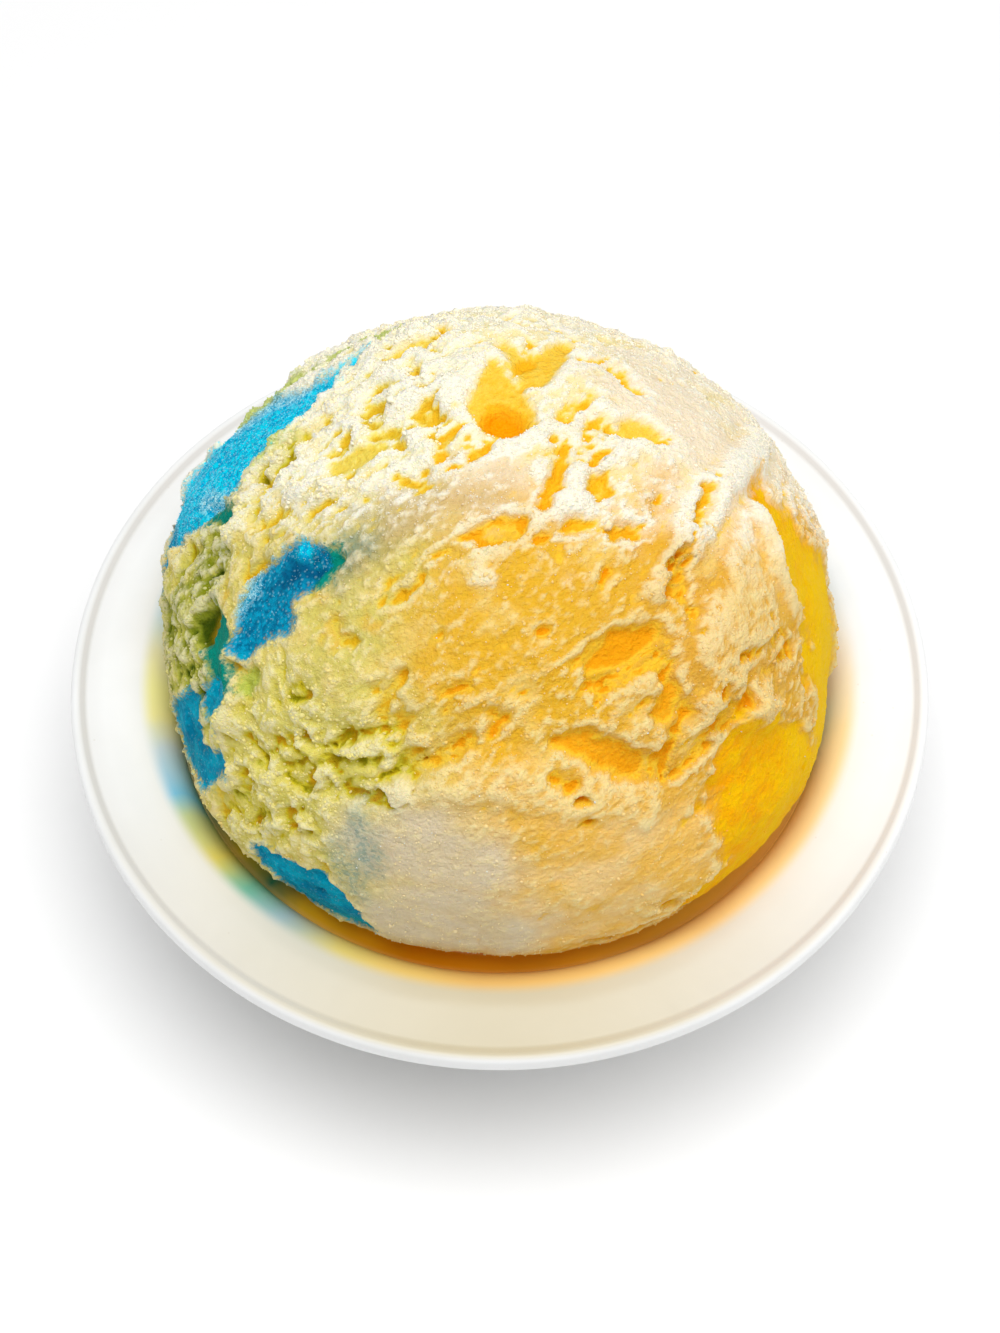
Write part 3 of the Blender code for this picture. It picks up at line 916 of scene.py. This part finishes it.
def clear_material():
    """Small clear crystals of ice."""
    n = Nodes("clear_ice")
    return n.finish(
        Base_Color=n.mix(n.noise(1 * MM), (255, 252, 240), (240, 250, 252)),
        Roughness=0.10,
        Transmission_Weight=0.2,
        IOR=1.31,
    )


# ------------------------------------------------------------------- the bowl

BOWL_PROFILE = (                    # radius, height, fillet and steps, in mm
    (0, 8.0, 0, 0), (35.6, 8.0, 10.0, 14), (38.0, 30.9, 4.6, 16), (43.5, 30.95, 8.0, 6),
    (48.2, 30.08, 0.8, 4), (48.95, 30.42, 0.7, 4), (50.0, 30.4, 0.8, 8), (50.0, 27.6, 0.9, 8),
    (41.0, 27.6, 2.0, 8), (38.6, 4.2, 11.5, 14), (26.0, 4.2, 0.5, 3),
    (25.5, 0, 0.7, 5), (22.9, 0, 0.7, 5), (22.4, 2.2, 0.4, 3), (0, 2.2, 0, 0),
)
BOWL_TURNS = 288

# Where looks change on the bowl: the well's mouth, the lip's groove and the rim.
MOUTH = (42.2 * MM, 40.4 * MM)
GROOVE = 48.6 * MM
RIM = 50.0 * MM


def rounded(corners, stretch=1.5):
    """Round a profile's corners, and add points along its long straights."""
    points = []
    for i, (r, z, fillet, steps) in enumerate(corners):
        here = Vector((r, z))
        if fillet == 0:
            points.append(here)
            continue
        back = (Vector(corners[i - 1][:2]) - here).normalized()
        onward = (Vector(corners[i + 1][:2]) - here).normalized()
        half = back.angle(onward) / 2
        centre = here + (back + onward).normalized() * (fillet / sin(half))
        start = here + back * (fillet / tan(half)) - centre
        end = here + onward * (fillet / tan(half)) - centre
        sweep = start.angle(end)
        for step in range(steps + 1):
            a = sin(sweep * (1 - step / steps)) / sin(sweep)
            b = sin(sweep * step / steps) / sin(sweep)
            points.append(centre + start * a + end * b)
    filled = [points[0]]
    for point in points[1:]:
        pieces = max(1, int((point - filled[-1]).length / stretch))
        last = filled[-1]
        filled += [last.lerp(point, k / pieces) for k in range(1, pieces + 1)]
    return np.array([(p.x, p.y) for p in filled]) * MM


def turned(profile, turns, closed):
    """Points and quads of a profile turned round Z, poles closed by thin quads."""
    angles = np.arange(turns) * (2 * pi / turns)
    r, z = profile[:, :1], profile[:, 1:]
    verts = np.stack([r * np.cos(angles), r * np.sin(angles), z + 0 * angles], 2).reshape(-1, 3)
    rows = len(profile) if closed else len(profile) - 1
    row, turn = (g.ravel() for g in np.meshgrid(np.arange(rows), np.arange(turns), indexing="ij"))
    after = (row + 1) % len(profile)
    beside = (turn + 1) % turns
    quads = np.stack([row * turns + turn, row * turns + beside,
                      after * turns + beside, after * turns + turn], 1)
    return verts, quads


# Painted reflection of the ice's colours on the wall of the well: degrees round from the front, and
# its tint.
WELL_REFLECTION = (
    (-112, (247, 245, 240)), (-99, (206, 232, 244)), (-91, (236, 232, 180)),
    (-85, (255, 250, 160)), (-78, (255, 246, 160)), (-72, (204, 222, 232)),
    (-62, (104, 196, 236)), (-56, (196, 210, 140)), (-49, (224, 206, 70)),
    (-42, (92, 184, 160)), (-34, (160, 190, 196)), (-22, (240, 214, 110)),
    (0, (242, 196, 108)), (30, (253, 214, 128)), (55, (255, 222, 146)),
    (84, (255, 230, 168)), (104, (247, 245, 240)),
)


def make_bowl():
    """The bowl, as turned and glazed: not quite even."""
    profile = rounded(BOWL_PROFILE)
    profile[:, 0] = np.maximum(profile[:, 0], 0.02 * MM)
    verts, quads = turned(profile, BOWL_TURNS, False)
    around = np.arctan2(verts[:, 1], verts[:, 0])
    radius = np.hypot(verts[:, 0], verts[:, 1])
    lip = smooth_step(42 * MM, RIM, radius)
    verts[:, 2] -= lip * 0.06 * MM * (1 + np.sin(2 * around + 0.7))
    verts[:, :2] *= (1 - 0.0006 * (1 + np.sin(3 * around + 1.9)))[:, None]
    mesh = mesh_from("bowl_glazed", verts, quads)

    # A painted reflection of the ice's colours on the well's wall, painted shade and a
    # painted reflection of the yellow ice over the front of the lip, and painted shade
    # in the lip's groove at the sides and behind.
    well_reflection = smooth_step(*MOUTH, radius) * (verts[:, 2] > 25 * MM) * (radius > 34 * MM)
    upper = smooth_step(26 * MM, 29 * MM, verts[:, 2])
    aside = np.abs(np.arctan2(verts[:, 0], -verts[:, 1])) / (2 * pi)
    # Painted shade and a painted reflection of the yellow ice over the front of the lip.
    front_shade_and_reflection = smooth_step(0.25, 0.0, aside) * smooth_step(RIM, 49.2 * MM, radius)
    # Painted shade in the lip's groove at the sides and behind.
    groove_shade = np.exp(-((radius - GROOVE) / (0.5 * MM)) ** 2) * smooth_step(0.02, 0.14, aside)
    set_fields(mesh, {"well_reflection": well_reflection, "front_shade_and_reflection": upper * front_shade_and_reflection, "groove_shade": 0.85 * upper * groove_shade})
    bowl = link("bowl_glazed", mesh)
    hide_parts("bowl")
    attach(bowl, "root")
    return bowl


def glaze_material():
    """Glossy white glaze over clay, a little uneven, warm where painted shade and reflections of the
    ice lie on it.
    """
    n = Nodes("glaze")
    cloud = n.noise(14 * MM, 3, 0.55)
    body = n.mix(n.spread(cloud, 0.3, 0.7), (243, 244, 243), (248, 249, 249))
    pin = n.spread(n.cells(2.6 * MM), 0.07, 0.02, 0.0, 0.25)
    body = n.mix(pin, body, (205, 196, 180))
    # Painted shade and yellow reflection at the front of the lip.
    body = n.mix(n.times(n.field("front_shade_and_reflection"), 0.9), body, (199, 188, 156))
    # Painted shade in the lip's groove.
    body = n.mix(n.field("groove_shade"), body, (206, 203, 200))
    around = n.around(n.times(n.noise(7 * MM), 0.02))
    # Painted reflection of the ice on the well's wall.
    body = n.mix(n.times(n.field("well_reflection"), 0.9), body, n.ramp(around, WELL_REFLECTION))
    wave = n.plus(n.noise(6 * MM, 2, 0.4), n.times(n.noise(0.9 * MM, 2), 0.05))
    return n.finish(
        Base_Color=body,
        Roughness=n.spread(cloud, 0.2, 0.8, 0.28, 0.38),
        Normal=n.bump(wave, 0.25 * MM, 0.5),
        Specular_IOR_Level=0.30,
    )


# ------------------------------------------------------------------- the melt

def ball_radius(height):
    """Radius of the plain ball at a height below its widest level."""
    below = (BALL_LEVEL - height) / BALL_DOWN
    return BALL_RADIUS * (1 - below ** BALL_DOWN_POWER) ** (1 / BALL_DOWN_POWER)


# The melt's own colours: degrees round from the front, and colour.
MELT = (
    (-120, (240, 220, 142)), (-92, (220, 214, 90)), (-74, (30, 140, 140)),
    (-59, (40, 120, 96)), (-50, (222, 190, 16)), (-41, (30, 128, 104)),
    (-32, (236, 190, 40)), (-10, (255, 166, 14)), (18, (255, 184, 44)),
    (42, (255, 200, 72)), (90, (255, 218, 130)), (140, (240, 220, 142)),
)
WELL_RADIUS = 37.55 * MM            # of the well's wall at the melt's level


def make_melt():
    """Melted syrup round the foot of the ball, climbing a little at both walls."""
    shares = np.linspace(0, 1, 15)
    foot = ball_radius(MELT_LEVEL) - 0.4 * MM
    under = MELT_LEVEL - 5 * MM
    climb = 0.9 * MM * (np.exp(-shares * 6) + np.exp(-(1 - shares) * 6))
    reach = WELL_RADIUS + (foot - WELL_RADIUS) * shares
    top = np.column_stack([reach, MELT_LEVEL - 1.0 * MM + climb])
    base = np.array([(foot - 2.5 * MM, under), (WELL_RADIUS - 0.4 * MM, under)])
    verts, quads = turned(np.concatenate([top, base]), BOWL_TURNS, True)
    mesh = mesh_from("melt_pool", verts, quads[:, ::-1])
    radius = np.hypot(verts[:, 0], verts[:, 1])
    set_fields(mesh, {"thin": smooth_step(WELL_RADIUS - 1.3 * MM, WELL_RADIUS, radius)})
    melt = link("melt_pool", mesh)
    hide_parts("melt")
    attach(melt, "root")
    return melt


def melt_material():
    """Wet syrup: amber brown in front, greener to the left, golden to the right."""
    n = Nodes("melt")
    around = n.around(n.times(n.noise(5 * MM), 0.03))
    return n.finish(
        Base_Color=n.mix(n.times(n.field("thin"), 0.5), n.ramp(around, MELT), (255, 222, 150)),
        Roughness=0.08,
        Coat_Weight=0.6,
        Specular_IOR_Level=0.5,
        Normal=n.bump(n.noise(2.5 * MM, 2), 0.1 * MM, 0.4),
    )


# -------------------------------------------------------------------- staging

FLOOR_HALF = 3.0
CAMERA_AWAY = 0.430
LENS = 100                              # focal length in mm
WHITE = (1, 1, 1, 1)


def soft_light(name, place, aim, size, watts):
    """A round white lamp."""
    lamp = bpy.data.lights.new(name, "AREA")
    lamp.shape = "DISK"
    lamp.size = size
    lamp.energy = watts
    made = link(name, lamp)
    made.location = place
    made.rotation_euler = (Vector(aim) - Vector(place)).to_track_quat("-Z", "Y").to_euler()


def make_floor():
    """A pale floor without gloss."""
    corners = FLOOR_HALF * np.array([(-1, -1, 0), (1, -1, 0), (1, 1, 0), (-1, 1, 0)])
    floor = link("floor", mesh_from("floor", corners, np.array([[0, 1, 2, 3]]), False))
    n = Nodes("floor")
    floor.data.materials.append(n.finish(
        Base_Color=paint((246, 246, 246)),
        Roughness=0.9,
        Specular_IOR_Level=0.0,
        Emission_Strength=0.02,
        Emission_Color=WHITE,
    ))


def stage():
    """The floor, a soft light above, a weaker one at the right, and the camera."""
    make_floor()
    world = bpy.data.worlds.new("studio")
    world.use_nodes = True
    sky = world.node_tree.nodes["Background"]
    sky.inputs["Color"].default_value = WHITE
    sky.inputs["Strength"].default_value = 0.39
    soft_light("key", (0.0, -0.11, 0.86), (0, 0, 0.03), 0.64, 5.75)
    soft_light("fill", (0.50, -0.06, 0.42), (0, 0, 0.05), 0.40, 0.5)

    lens = bpy.data.cameras.new("camera")
    lens.lens = LENS
    camera = link("camera", lens)
    aim = Vector((0, 0, 0.5 * (BRIM_TOP + BALL_LEVEL) - 1.2 * MM))
    camera.location = aim + Vector(FACE) * CAMERA_AWAY
    camera.rotation_euler = Vector(-FACE).to_track_quat("-Z", "Y").to_euler()
    scene = bpy.context.scene
    scene.world = world
    scene.camera = camera
    scene.view_settings.view_transform = "Standard"


def main():
    ball, *skin = make_ball()
    ball.data.materials.append(ice_material())
    grains = make_grains(skin)
    loose = loose_material("loose_ice", 0.6, 0.0, (0.5, 0.7), 0.15)
    finishes = {
        "frost_grains": loose_material("frost", 1.2, 0.2, (0.3, 0.6), 0.4),
        "ice_crumbs": loose,
        "ice_bits": loose,
        "blue_crystals": loose_material("blue_frost", 1.0, 0.30, (0.3, 0.5), 0.3),
        "clear_crystals": clear_material(),
    }
    for name, finish in finishes.items():
        grains[name].data.materials.append(finish)
    make_bowl().data.materials.append(glaze_material())
    make_melt().data.materials.append(melt_material())
    stage()


main()
